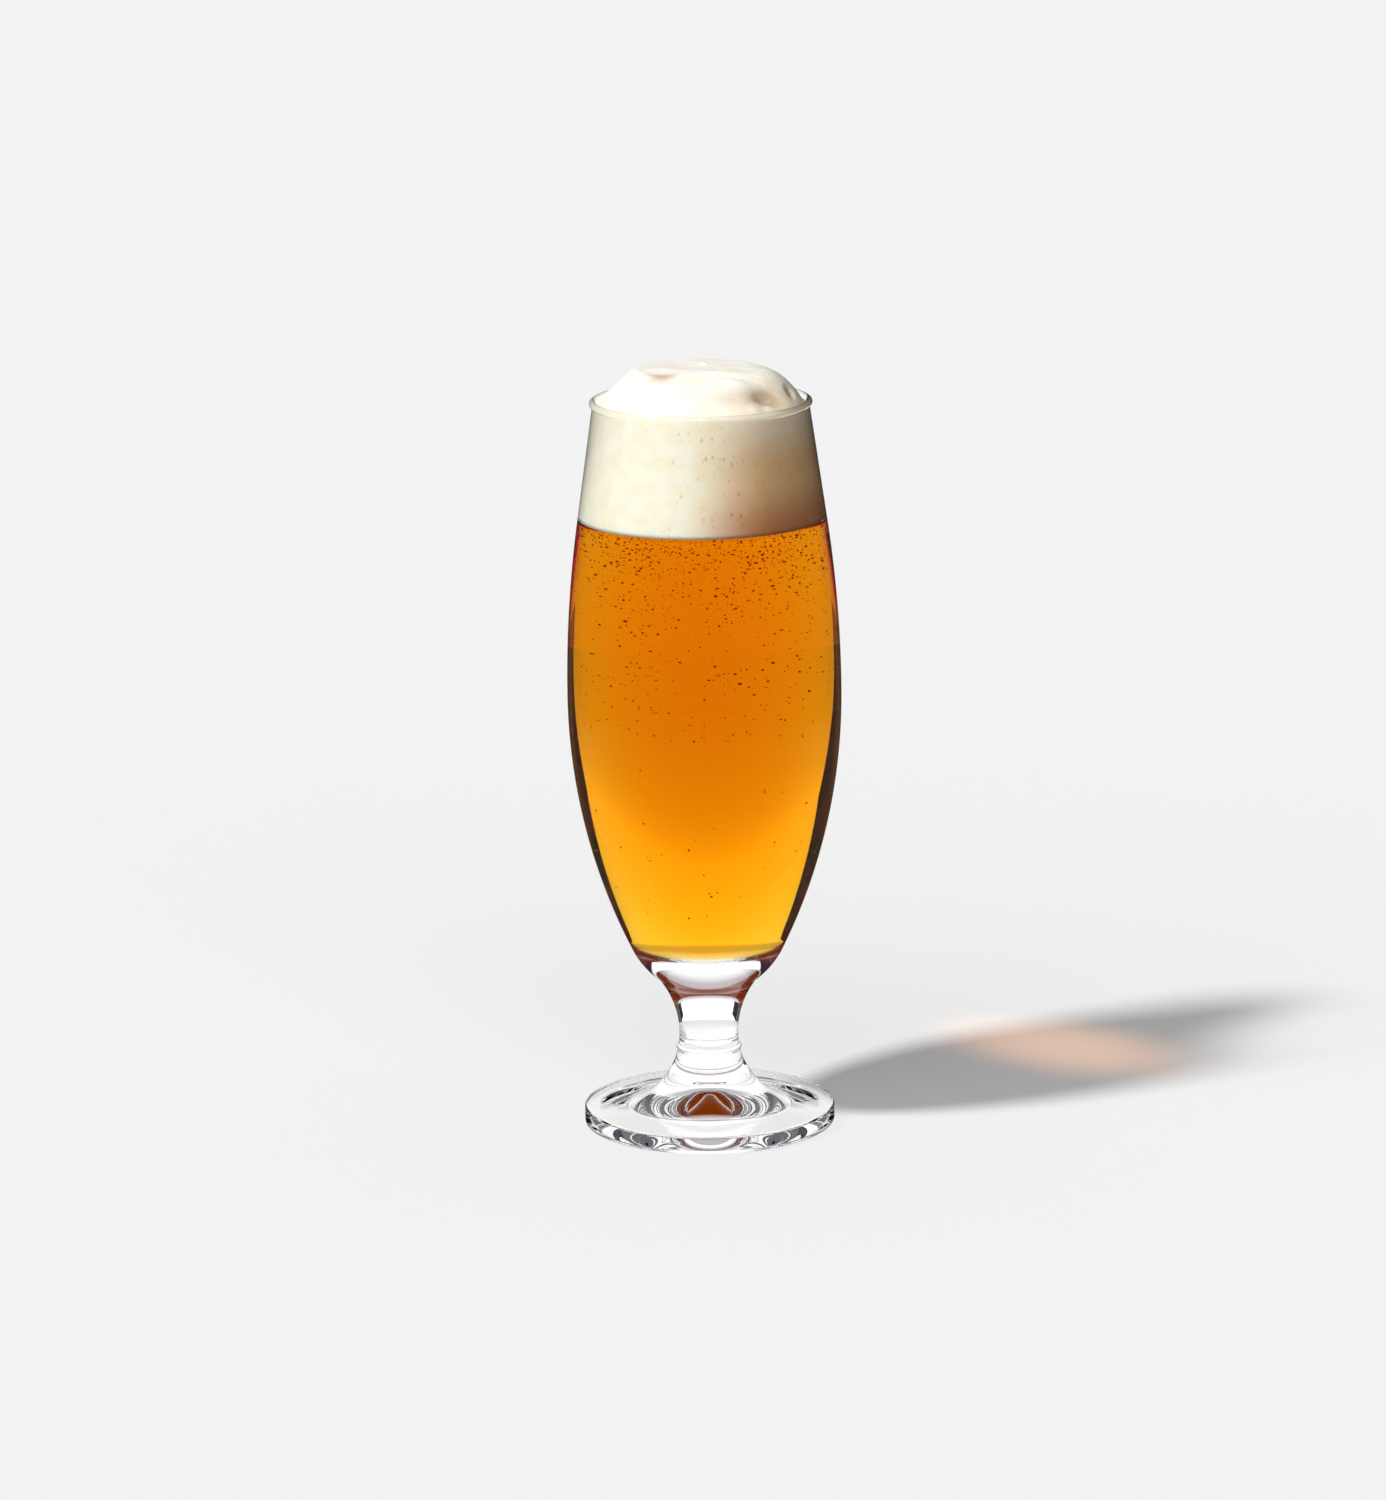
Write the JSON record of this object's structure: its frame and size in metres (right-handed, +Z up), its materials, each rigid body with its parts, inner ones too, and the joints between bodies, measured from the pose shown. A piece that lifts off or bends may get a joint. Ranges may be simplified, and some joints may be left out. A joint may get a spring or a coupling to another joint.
{
  "type": "stemmed beer glass",
  "caption": "Clear footed beer glass with a tall barrel bowl on a short waisted stem and a round foot, full of amber beer under a domed head of foam",
  "frame": {"origin": "centre of the ring that the foot stands on, on the table", "axes": "+Z up along the axis of the glass; the glass is round, so X and Y are alike"},
  "size_m": [0.0684, 0.0684, 0.1935],
  "materials": {
    "clear_glass": "polished",
    "amber_beer": "gloss",
    "beer_foam": "matte"
  },
  "bodies": {
    "root": {"bowl": "clear_glass", "stem": "clear_glass", "foot": "clear_glass", "beer": "amber_beer", "foam_head": "beer_foam"}
  },
  "joints": []
}
